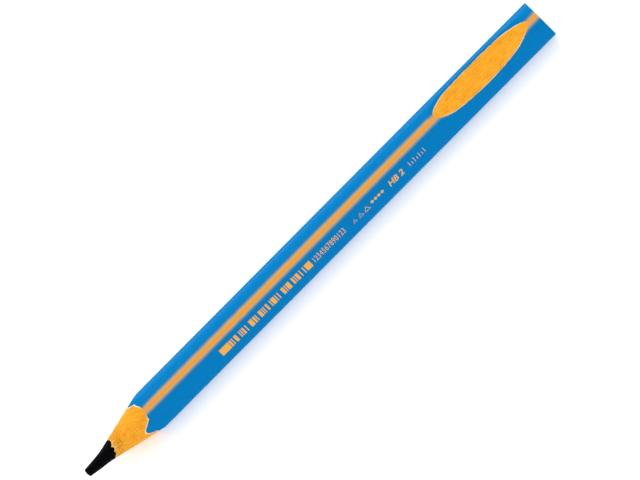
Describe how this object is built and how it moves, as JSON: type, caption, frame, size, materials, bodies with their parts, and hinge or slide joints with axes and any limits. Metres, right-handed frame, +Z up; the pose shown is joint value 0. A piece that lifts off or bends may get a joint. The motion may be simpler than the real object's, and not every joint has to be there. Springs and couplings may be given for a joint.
{
  "type": "triangular graphite pencil",
  "caption": "Chunky three-sided graphite pencil with a striped corner, a scooped name panel near the tail, foil marks and a sharpened point.",
  "frame": {"origin": "on the surface that the pencil rests on, under the middle of its length, at the middle of the flat that it lies on", "axes": "+X from the sharpened point to the tail, +Z up through the striped corner, +Y away from the flat that carries the foil marks"},
  "size_m": [0.15, 0.0104, 0.0099],
  "materials": {
    "graphite": "satin",
    "casing_composite": "matte",
    "undercoat": "matte",
    "blue_skin": "satin",
    "orange_stripe": "satin",
    "gold_foil": "satin"
  },
  "bodies": {
    "root": {"graphite_core": "graphite", "casing": "casing_composite", "undercoat": "undercoat", "skin": "blue_skin", "corner_stripe": "orange_stripe", "barcode_foil": "gold_foil", "number_foil": "gold_foil", "emblem_foil": "gold_foil", "diamond_foil": "gold_foil", "grade_foil": "gold_foil", "tick_foil": "gold_foil"}
  },
  "joints": []
}
